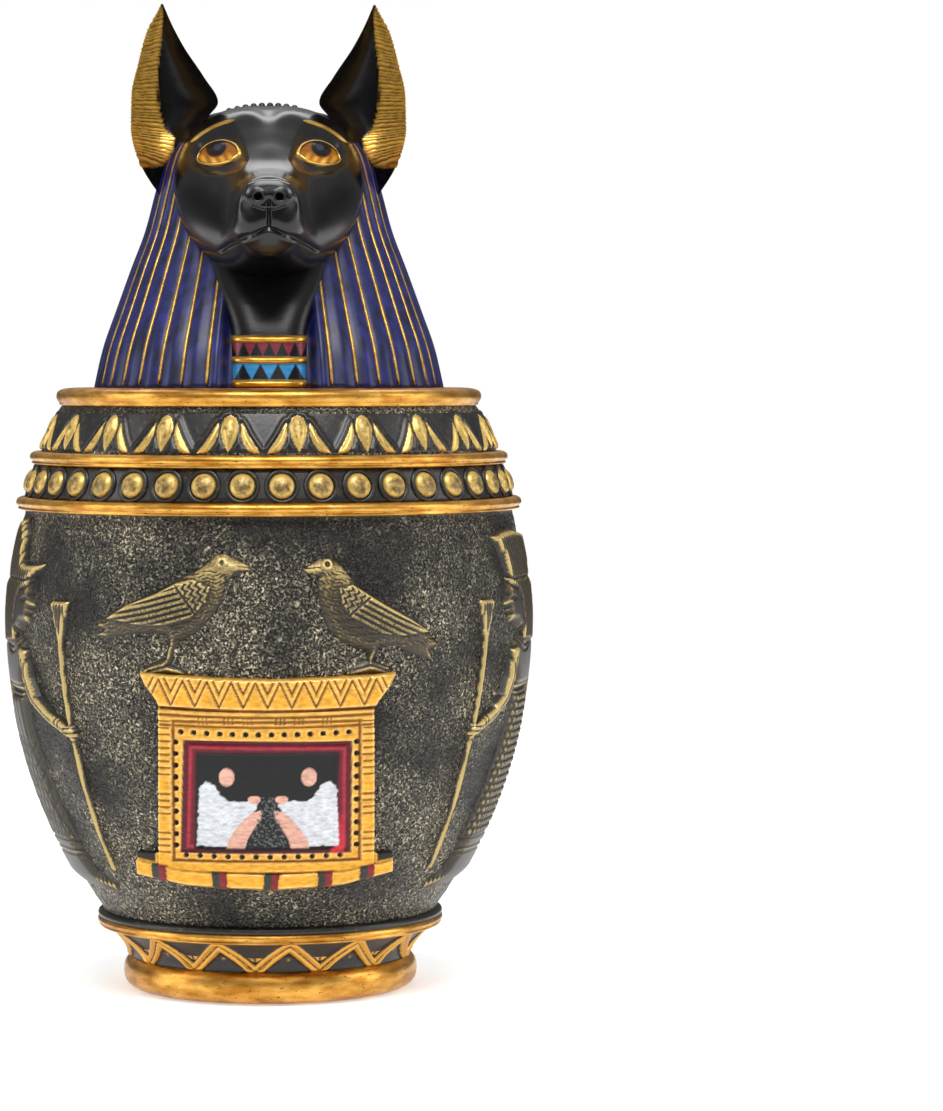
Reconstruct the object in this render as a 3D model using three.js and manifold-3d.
// A jackal-headed canopic jar, the small painted resin kind that stands on a shelf.
// Two castings: a hollow jar with its foot, and a solid lid carved as the head and striped hood.
// Millimetres, +Z up. The front faces -Y, and the origin is the centre of the underside.
import * as THREE from "three";
import { mergeVertices } from "three/addons/utils/BufferGeometryUtils.js";
import Module from "manifold-3d";

// Jar, outside
const rimHeight = 107; // flat top of the rim, where the lid rests
const rimProjection = 1.9; // how far the rim's roll stands out from the belly's curve
const rimRoll = 3.5; // height of the rim's roll
const bellyRadius = 45.6;
const bellyHeight = 65; // height of the widest line
const bellyArc = 88; // radius of the curve that runs from the waist to the rim
const ringProjection = 2.1; // how far the two gilt rings stand out
const ringWidth = 2.1;
const ringMargin = 0.3; // plain strip between a ring and what lies beside it
const bandProjection = 0.35; // how far the bead and petal bands stand out
const petalBandHeight = 7.55; // lotus petals, between the rim and the upper gilt ring
const beadBandHeight = 5.9; // beads, between the two gilt rings
const waistRingHeight = 12.9;
const waistRingWidth = 3.2;
const waistRingProjection = 2.5;
const waistRadius = 24.9; // narrowest line, just above the foot
const flareCurve = 1.6; // how hollow the flare from the waist up to its ring is
const footRadius = 26.2;
const footHeight = 6.6;
const footContactRadius = 22.5;

// Jar, inside
const wall = 4.6;
const floorThickness = 10;
const mouthRadius = 27;
const mouthLength = 7; // straight part of the mouth that takes the lid's spigot

// Carving on the jar
const lotusCount = 21;
const beadCount = 40;
const chevronCount = 14;
const beadRadius = 2.15;
const beadRise = 1.3;
const petalRise = 0.9;
const chevronRise = 0.8;
const chevronBar = 1.8;
const frameRise = 1.2; // shrine's posts and lintel
const corniceRise = 1.7; // shrine's cornice and step
const windowRise = 0.4; // floor of the shrine's picture
const birdRise = 1.1;
const wingRise = 1.5;
const figureRise = 1.3;
const reedRise = 1.5;
const doveLength = 27;
const doveApart = 30.8; // between the feet of the two doves
const figureAzimuth = 78; // degrees from the front, to either side
const figureFoot = 19.6; // height of the figures' soles and of the reeds' roots
const figureHeight = 64;
const reedHeight = 54;
const reedStep = 10; // how much shorter the outer reeds are
const reedPitch = 13;

// Lid
const lidHeight = 68; // rim to ear tips
const seatWidth = 4; // how far the hood laps onto the rim round the mouth
const hoodRadius = mouthRadius + seatWidth;
const spigotClearance = 0.5;
const spigotLength = 5;
const stripeCount = 40;
const stripeGroove = 0.5;
const throatRecess = 2.4; // depth of the gap between the hood's lappets
const throatHalfAngle = 12;
const collarHalfWidth = 6.9;
const collarBarRise = 0.5;
const collarBarWidth = 0.9;

const jarFacets = 40;
const bellySteps = 6; // facets up the belly, the same for the plain wall and its carving

const wasm = await Module();
wasm.setup();

const paint = {
  jar: new THREE.MeshStandardMaterial({ color: 0x3a3832, roughness: 0.6, metalness: 0.3 }),
  lid: new THREE.MeshStandardMaterial({ color: 0x1b1b22, roughness: 0.3, metalness: 0.1 }),
};

// A closed three.js geometry as a solid that can be joined and cut.
function solidOf(geometry) {
  const bare = geometry.clone();
  bare.deleteAttribute("normal");
  bare.deleteAttribute("uv");
  const merged = mergeVertices(bare, 1e-4);
  const corners = [];
  for (let i = 0; i < merged.index.count; i += 3) {
    const [a, b, c] = [0, 1, 2].map((k) => merged.index.getX(i + k));
    if (a !== b && b !== c && c !== a) corners.push(a, b, c);
  }
  return new wasm.Manifold(
    new wasm.Mesh({
      numProp: 3,
      vertProperties: new Float32Array(merged.attributes.position.array),
      triVerts: new Uint32Array(corners),
    }),
  );
}

function meshOf(name, solid, material) {
  const made = solid.getMesh();
  const geometry = new THREE.BufferGeometry();
  geometry.setAttribute("position", new THREE.BufferAttribute(made.vertProperties, 3));
  geometry.setIndex(new THREE.BufferAttribute(made.triVerts, 1));
  geometry.computeVertexNormals();
  const mesh = new THREE.Mesh(geometry, material);
  mesh.name = name;
  return mesh;
}

const joined = (solids) => solids.reduce((a, b) => a.add(b));
const radians = THREE.MathUtils.degToRad;

// A profile of [radius, height] points, turned round the jar's axis.
function turned(profile) {
  const points = profile.map(([radius, height]) => new THREE.Vector2(radius, height));
  return solidOf(new THREE.LatheGeometry(points, jarFacets).rotateX(Math.PI / 2));
}

// An outline of [across, height] points as a bar that runs from the axis out to the given azimuth.
function prism(outline, azimuth = 0, reach = bellyRadius + 10) {
  const shape = new THREE.Shape(outline.map(([x, z]) => new THREE.Vector2(x, z)));
  const bar = new THREE.ExtrudeGeometry(shape, { depth: reach, bevelEnabled: false });
  return solidOf(bar.rotateX(Math.PI / 2).rotateZ(radians(azimuth)));
}

// Rings of points from bottom to top, skinned and closed at both ends.
function loft(rings) {
  const count = rings[0].length;
  const points = rings.flat();
  const ends = [rings[0], rings.at(-1)].map((ring) =>
    ring.reduce((sum, p) => sum.add(p), new THREE.Vector3()).divideScalar(count),
  );
  const first = points.length;
  const index = [];
  for (let i = 0; i < count; i++) {
    const next = (i + 1) % count;
    index.push(first, next, i);
    const top = (rings.length - 1) * count;
    index.push(first + 1, top + i, top + next);
    for (let ring = 0; ring < rings.length - 1; ring++) {
      const [a, b] = [ring * count + i, ring * count + next];
      index.push(a, b, b + count, a, b + count, a + count);
    }
  }
  const geometry = new THREE.BufferGeometry().setFromPoints([...points, ...ends]);
  return solidOf(geometry.setIndex(index));
}

// A small raised shape whose outline of [across, height] points runs anticlockwise, laid on a round surface.
function pad(outline, azimuth, surface, rise, rooted = -0.8) {
  const rings = [rooted, rise].map((out) =>
    outline.map(([x, z]) => new THREE.Vector3(x, -Math.sqrt((surface(z) + out) ** 2 - x ** 2), z)),
  );
  const turn = new THREE.Matrix4().makeRotationZ(radians(azimuth));
  return loft(rings.map((ring) => ring.map((point) => point.applyMatrix4(turn))));
}

// Radius of the jar's plain curve at a height.
function skin(height) {
  const drop = height - bellyHeight;
  return bellyRadius - bellyArc + Math.sqrt(bellyArc ** 2 - drop ** 2);
}

// Points up the jar's curve between two heights, moved out by rise.
function skinPoints(low, high, rise, steps) {
  return Array.from({ length: steps + 1 }, (_, i) => {
    const height = low + ((high - low) * i) / steps;
    return [skin(height) + rise, height];
  });
}

// A rounded ring on the jar's curve, from its lower edge to its upper one.
function ringPoints(height, width, projection) {
  const edge = skin(height) + projection / 3;
  return [
    [edge, height - width / 2],
    [skin(height) + projection, height],
    [edge, height + width / 2],
  ];
}

const waistRingTop = waistRingHeight + waistRingWidth / 2;
const waistRingFoot = waistRingHeight - waistRingWidth / 2;
const petalHigh = rimHeight - rimRoll - ringMargin;
const petalLow = petalHigh - petalBandHeight;
const beadHigh = petalLow - ringWidth;
const beadLow = beadHigh - beadBandHeight;
const bellyHigh = beadLow - ringWidth - ringMargin;
const bellyLow = waistRingTop + ringMargin;

// Radius of the hollow flare between the foot and the waist ring, where the zigzag is.
function flare(height) {
  const share = (height - footHeight) / (waistRingFoot - footHeight);
  return waistRadius + (skin(waistRingHeight) - waistRadius) * share ** flareCurve;
}

function flarePoints() {
  return [0, 0.6, 1].map((share) => {
    const height = footHeight + share * (waistRingFoot - footHeight);
    return [flare(height), height];
  });
}

function jarShell() {
  const rimRadius = skin(rimHeight - rimRoll / 2) + rimProjection;
  const floorRadius = waistRadius - wall;
  const innerLow = floorThickness + wall;
  const innerHigh = rimHeight - mouthLength - 3;
  const outside = [
    [0, 0],
    [footContactRadius, 0],
    [(footContactRadius + 3 * footRadius) / 4, footHeight * 0.15],
    [footRadius, footHeight * 0.5],
    ...flarePoints(),
    ...ringPoints(waistRingHeight, waistRingWidth, waistRingProjection),
    ...skinPoints(bellyLow, bellyHigh, 0, bellySteps),
    ...ringPoints(beadLow - ringWidth / 2, ringWidth, ringProjection),
    ...skinPoints(beadLow, beadHigh, bandProjection, 1),
    ...ringPoints(petalLow - ringWidth / 2, ringWidth, ringProjection),
    ...skinPoints(petalLow, petalHigh, bandProjection, 1),
    [rimRadius - 1, rimHeight - rimRoll],
    [rimRadius, rimHeight - rimRoll * 0.68],
    [rimRadius, rimHeight - rimRoll * 0.34],
    [rimRadius - 0.9, rimHeight],
  ];
  const inside = [
    [mouthRadius, rimHeight],
    [mouthRadius, rimHeight - mouthLength],
    ...skinPoints(innerLow, innerHigh, -wall, 4).reverse(),
    [floorRadius, floorThickness],
    [0, floorThickness],
  ];
  return turned([...outside, ...inside]);
}

// The layer that carving fills: from inside the wall out to rise above the jar's curve.
function layer(rise, low = bellyLow, high = bellyHigh, steps = bellySteps, rooted = -1.5) {
  const outer = skinPoints(low, high, rise, steps);
  const inner = skinPoints(low, high, rooted, steps).reverse();
  return turned([...outer, ...inner, outer[0]]);
}

const mirrored = (outline) => outline.map(([x, z]) => [-x, z]).reverse();
// An outline in hundredths of a size, set with its own origin at a point.
const placed = (outline, size, dx, dz) =>
  outline.map(([x, z]) => [dx + (x * size) / 100, dz + (z * size) / 100]);

// Outlines drawn on the unrolled belly, bent to the flat width that they cover seen square on.
const bent = (outline) => outline.map(([u, z]) => [skin(z) * Math.sin(u / bellyRadius), z]);

// The shrine at the front: posts, cornice, step and a window sunk for the picture.
const shrine = {
  low: 24.5,
  high: 53.4,
  halfWidth: 18.6,
  windowLow: 28.2,
  windowHigh: 48,
  windowHalfWidth: 14,
  corniceHigh: 59.3,
  corniceHalfWidth: 21.6,
  stepLow: 21.6,
  stepHigh: 26.8,
  stepHalfWidth: 22.4,
  dip: 1.1, // how far the long edges sag at the middle
};

function rectangle(halfWidth, low, high) {
  return [
    [-halfWidth, low],
    [halfWidth, low],
    [halfWidth, high],
    [-halfWidth, high],
  ];
}

function carveShrine(jar) {
  const s = shrine;
  const posts = prism(rectangle(s.halfWidth, s.low, s.high)).intersect(layer(frameRise));
  const cornice = prism([
    [-s.halfWidth, s.high - 0.4],
    [s.halfWidth, s.high - 0.4],
    [s.corniceHalfWidth, s.corniceHigh],
    [0, s.corniceHigh - s.dip],
    [-s.corniceHalfWidth, s.corniceHigh],
  ]);
  const step = prism([
    [-s.stepHalfWidth, s.stepLow + 1.7 * s.dip],
    [-s.stepHalfWidth / 2, s.stepLow + 0.4 * s.dip],
    [0, s.stepLow],
    [s.stepHalfWidth / 2, s.stepLow + 0.4 * s.dip],
    [s.stepHalfWidth, s.stepLow + 1.7 * s.dip],
    [s.stepHalfWidth, s.stepHigh],
    [0, s.stepHigh - s.dip],
    [-s.stepHalfWidth, s.stepHigh],
  ]);
  const proud = cornice.add(step).intersect(layer(corniceRise));
  const window = prism(rectangle(s.windowHalfWidth, s.windowLow, s.windowHigh));
  const sunk = window.intersect(layer(frameRise + 1, bellyLow, bellyHigh, bellySteps, windowRise));
  return joined([jar, posts.subtract(sunk), proud]);
}

// A dove that stands facing +X with its feet at [0, 0], in hundredths of its length.
const dove = [
  [49.5, 63],
  [34.5, 72.5],
  [26.5, 69],
  [5, 53.5],
  [-37, 35],
  [-50.5, 26.5],
  [-49, 17],
  [-18.5, 20.5],
  [-6, 15.5],
  [-8, 5],
  [-18, 0],
  [12.5, 0],
  [-2, 9],
  [1, 17],
  [20, 30.5],
  [28.5, 44.5],
  [31, 58],
];
const doveWing = [
  [13.5, 54],
  [-35.5, 34.5],
  [-16.5, 25.5],
  [6.5, 29],
  [18, 43],
];

function doves() {
  const perch = shrine.corniceHigh - 0.3;
  const left = [dove, doveWing].map((part) => placed(part, doveLength, -doveApart / 2, perch));
  const right = left.map(mirrored);
  const bodies = prism(left[0]).add(prism(right[0]));
  const wings = prism(left[1]).add(prism(right[1]));
  return bodies.intersect(layer(birdRise)).add(wings.intersect(layer(wingRise)));
}

// A standing figure in profile that faces +X, with its staff, on the belly unrolled about its own middle.
// Its points are hundredths of its height from the soles up.
const figure = [
  [32, 0],
  [32, 3.5],
  [19.5, 13],
  [10, 54.5],
  [19, 48.5],
  [33, 40.5],
  [36, 47],
  [21, 55.5],
  [15, 66],
  [11, 69.5],
  [18.5, 74],
  [21, 89.5],
  [9, 89.5],
  [7, 99.5],
  [0.5, 99.5],
  [-0.5, 89.5],
  [-7, 89.5],
  [-5.5, 69.5],
  [-15, 66],
  [-16, 44.5],
  [-8, 55.5],
  [-8, 0],
];
const staff = [
  [35, 7],
  [36.5, 7],
  [36, 71],
  [39, 79.5],
  [31, 79.5],
  [34, 71],
];

function sideFigures() {
  const parts = [figure, staff].map((part) => bent(placed(part, figureHeight, 0, figureFoot)));
  const left = parts.map((part) => prism(part, -figureAzimuth));
  const right = parts.map((part) => prism(mirrored(part), figureAzimuth));
  return joined([...left, ...right]).intersect(layer(figureRise));
}

// A papyrus reed from its root up, in hundredths of its height.
const reed = [
  [-2, 0],
  [2, 0],
  [1.5, 81],
  [10.5, 98],
  [0, 100],
  [-10.5, 98],
  [-1.5, 81],
];

// Three reeds in low relief on the back, the middle one taller.
function reeds() {
  const stems = [-1, 0, 1].map((side) => {
    const height = reedHeight - Math.abs(side) * reedStep;
    return prism(bent(placed(reed, height, side * reedPitch, figureFoot)), 180);
  });
  return joined(stems).intersect(layer(reedRise));
}

// Lotus petals hanging from the rim: a bud between two leaves that curve outward.
// Their points are shares of half the pitch across and of the band's height.
const lotusBud = [
  [-0.3, 0.71],
  [0, 0.08],
  [0.3, 0.71],
  [0, 0.85],
];
const lotusLeaf = [
  [0.35, 0.42],
  [0.8, 0.08],
  [0.45, 0.82],
];

function lotusBand() {
  const height = petalHigh - petalLow;
  const halfPitch = (Math.PI * skin(petalLow + height / 2)) / lotusCount;
  const solids = [];
  for (let i = 0; i < lotusCount; i++) {
    const azimuth = ((i + 0.4) * 360) / lotusCount;
    for (const leaf of [lotusBud, lotusLeaf, mirrored(lotusLeaf)]) {
      const outline = leaf.map(([x, z]) => [x * halfPitch, petalLow + z * height]);
      solids.push(pad(outline, azimuth, skin, bandProjection + petalRise));
    }
  }
  return joined(solids);
}

function beads() {
  const height = (beadLow + beadHigh) / 2;
  const solids = [];
  for (let i = 0; i < beadCount; i++) {
    const dome = new THREE.SphereGeometry(beadRadius, 6, 3);
    dome.scale(1, beadRise / beadRadius, 1);
    dome.translate(0, -(skin(height) + bandProjection), height);
    solids.push(solidOf(dome.rotateZ(radians(((i + 0.35) * 360) / beadCount))));
  }
  return joined(solids);
}

// A bar that zigzags round the waist, carried from peak to foot and back as a square section.
function zigzag() {
  const count = chevronCount * 2;
  const corners = [];
  const index = [];
  for (let i = 0; i < count; i++) {
    const low = i % 2 ? footHeight : waistRingFoot - ringMargin - chevronBar;
    const turn = radians(((i + 0.56) * 180) / chevronCount);
    for (const [rise, lift] of [[-1, 0], [chevronRise, 0], [chevronRise, chevronBar], [-1, chevronBar]]) {
      const radius = flare(low + lift) + rise;
      corners.push(new THREE.Vector3(radius * Math.sin(turn), -radius * Math.cos(turn), low + lift));
    }
    for (let k = 0; k < 4; k++) {
      const [a, b] = [i * 4 + k, i * 4 + ((k + 1) % 4)];
      const [c, d] = [((i + 1) % count) * 4 + k, ((i + 1) % count) * 4 + ((k + 1) % 4)];
      index.push(a, c, b, b, c, d);
    }
  }
  return solidOf(new THREE.BufferGeometry().setFromPoints(corners).setIndex(index));
}

function makeJar() {
  const carved = carveShrine(jarShell());
  return joined([carved, doves(), sideFigures(), reeds(), lotusBand(), beads(), zigzag()]);
}

// The lid's sculpture is drawn in hundredths of its height, and the hood's girth in hundredths of its radius.
const up = (hundredths) => (hundredths * lidHeight) / 100;
const girth = (hundredths) => (hundredths * hoodRadius) / 100;

// A point of a rounded section: angle 0 is its front or top, and a squareness over 2 fills its corners.
function rounded(angle, squareness) {
  const power = 2 / squareness;
  const bend = (v) => Math.sign(v) * Math.abs(v) ** power;
  return [bend(Math.sin(angle)), bend(Math.cos(angle))];
}

// Hood levels: height, half width, front, back, squareness.
const hoodLevels = [
  [0, 100, 100, 100, 2],
  [14, 92, 89, 97, 2.2],
  [28, 81.5, 70.5, 92.3, 2.6],
  [41, 71, 50, 85.8, 3.2],
  [54, 64, 37, 77, 3.6],
  [64, 56, 28.5, 64.5, 3.2],
  [70.5, 41.5, 19, 47, 2.6],
  [73.8, 22.6, 9.7, 27.4, 2],
];

const throatTop = 40; // where the head hides the gap between the lappets

// The striped hood, with a groove between stripes and a gap at the front for the throat.
function hood() {
  const points = stripeCount * 2;
  return loft(
    hoodLevels.map(([height, half, front, back, squareness]) =>
      Array.from({ length: points }, (_, i) => {
        const angle = (2 * Math.PI * i) / points;
        const [side, ahead] = rounded(angle, squareness);
        const open = Math.cos(angle) > Math.cos(radians(throatHalfAngle)) && height < throatTop;
        const depth = open ? throatRecess : (i % 2) * stripeGroove;
        const reach = ahead > 0 ? front : back;
        return new THREE.Vector3(
          side * (girth(half) - depth),
          -ahead * (girth(reach) - depth),
          up(height),
        );
      }),
    ),
  );
}

// Head sections from the back of the skull to the nose: forward, half width, top, bottom.
const headSections = [
  [-11.8, 22.8, 71.3, 32.4],
  [0, 24.7, 73.5, 27.2],
  [8.8, 24.9, 72.5, 26.2],
  [14.7, 23.8, 70.6, 26.2],
  [20.6, 21.2, 67.9, 26.5],
  [25, 17.9, 64.7, 27.4],
  [29.4, 15, 61, 28.5],
  [35.3, 12.2, 57.2, 30.3],
  [41.2, 10.1, 55, 31.8],
  [47, 9, 53.7, 32.9],
  [52.2, 8.2, 52.4, 34.1],
  [55.9, 7.1, 50.9, 36.2],
  [57.8, 4.7, 48.8, 39.7],
];
const headSquareness = 2.3;
const headPoints = 20;

function head() {
  return loft(
    headSections.map(([forward, half, top, bottom]) =>
      Array.from({ length: headPoints }, (_, i) => {
        const [side, rise] = rounded((2 * Math.PI * i) / headPoints, headSquareness);
        const middle = (top + bottom) / 2;
        return new THREE.Vector3(
          -up(half) * side,
          -up(forward),
          up(middle + ((top - bottom) / 2) * rise),
        );
      }),
    ),
  );
}

// How far forward the collar stands at a height.
const collarForward = (height) => 43.7 - 0.21 * height;

// Throat levels: height, width as a share of the collar's, how far forward.
const throatLevels = [
  [0, 1, collarForward(0)],
  [12, 1, collarForward(12)],
  [20, 1.18, 36.5],
  [29, 1.42, 30],
];
const throatPoints = 12;
const throatSquareness = 3;

function throat() {
  return loft(
    throatLevels.map(([height, wide, forward]) =>
      Array.from({ length: throatPoints }, (_, i) => {
        const [side, ahead] = rounded((2 * Math.PI * i) / throatPoints, throatSquareness);
        const middle = forward - 8;
        const reach = ahead > 0 ? 8 : 14;
        return new THREE.Vector3(
          collarHalfWidth * wide * side,
          -up(middle + reach * ahead),
          up(height),
        );
      }),
    ),
  );
}

// Three raised bars that edge the two painted bands of the collar.
function collarBars() {
  const depth = 6;
  return joined(
    [1.3, 7, 12.2].map((height) => {
      const bar = new THREE.BoxGeometry(2 * collarHalfWidth - 1, depth, collarBarWidth);
      const front = up(collarForward(height)) + collarBarRise;
      return solidOf(bar.translate(0, depth / 2 - front, up(height)));
    }),
  );
}

// Ear levels: height, outer edge, inner edge, front, back.
const earLevels = [
  [50.4, 29.9, 27.4, -2.9, 2.9],
  [55.1, 31.8, 22, -5.9, 7.4],
  [60.3, 34.3, 17.6, -7.4, 10.3],
  [66.2, 35.4, 14, -7.6, 11],
  [72.1, 35.6, 12.8, -6.8, 10.3],
  [77.9, 35, 15.4, -5.3, 8.8],
  [84.6, 33.4, 19.3, -3.5, 7.1],
  [91.2, 31.6, 23.1, -1.8, 5.3],
  [97, 29.3, 26.3, 0.3, 3.2],
  [100, 28, 27.6, 1.5, 2.1],
];
// Round an ear's section: share of the width from the inner edge, share of the depth from the front.
const earSection = [
  [0, 0.2],
  [0.2, 0.42],
  [0.45, 0.4],
  [0.7, 0],
  [0.88, 0.12],
  [1, 0.45],
  [0.8, 0.9],
  [0.45, 1],
  [0.12, 0.7],
];

function ear(side) {
  const rings = earLevels.map(([height, outer, inner, front, back]) =>
    earSection.map(([across, deep]) => {
      const x = inner + (outer - inner) * across;
      return new THREE.Vector3(side * up(x), up(front + (back - front) * deep), up(height));
    }),
  );
  return loft(side > 0 ? rings : rings.map((ring) => ring.reverse()));
}

// Half width, top and bottom of the head at a distance forward, between its sections.
function headAt(forward) {
  const next = headSections.findIndex((section) => section[0] > forward);
  const [a, b] = [headSections[next - 1], headSections[next]];
  const share = (forward - a[0]) / (b[0] - a[0]);
  return [1, 2, 3].map((k) => a[k] + share * (b[k] - a[k]));
}

const eyeForward = 23.6;
const eyeAngle = 48; // round the head, from its top
const eyeSunk = 0.88; // how far out from the middle of the head the eye's centre is
const eyeHalf = [5.6, 3, 3.1];
const eyeTurn = 28;

function eye(side) {
  const [half, top, bottom] = headAt(eyeForward);
  const [across, rise] = rounded(radians(eyeAngle), headSquareness);
  const x = up(half) * across * eyeSunk;
  const z = up((top + bottom + (top - bottom) * rise * eyeSunk) / 2);
  const ball = new THREE.SphereGeometry(1, 8, 4).scale(...eyeHalf.map(up));
  ball.rotateZ(side * radians(eyeTurn));
  return solidOf(ball.translate(side * x, -up(eyeForward), z));
}

function nose() {
  const pad = new THREE.SphereGeometry(1, 8, 4).scale(up(5.4), up(4.4), up(3));
  return solidOf(pad.translate(0, -up(54.6), up(47.6)));
}

function spigot() {
  const plug = new THREE.CylinderGeometry(
    mouthRadius - spigotClearance,
    mouthRadius - spigotClearance,
    spigotLength + 1,
    jarFacets,
  );
  return solidOf(plug.rotateX(Math.PI / 2).translate(0, 0, (1 - spigotLength) / 2));
}

function makeLid() {
  const sculpture = [head(), throat(), collarBars(), nose(), ear(-1), ear(1), eye(-1), eye(1)];
  return joined([hood(), ...sculpture, spigot()]);
}

const canopicJar = new THREE.Group();
canopicJar.add(meshOf("jar", makeJar(), paint.jar));
const lid = meshOf("jackal_lid", makeLid(), paint.lid);
lid.position.z = rimHeight;
canopicJar.add(lid);

export default canopicJar;
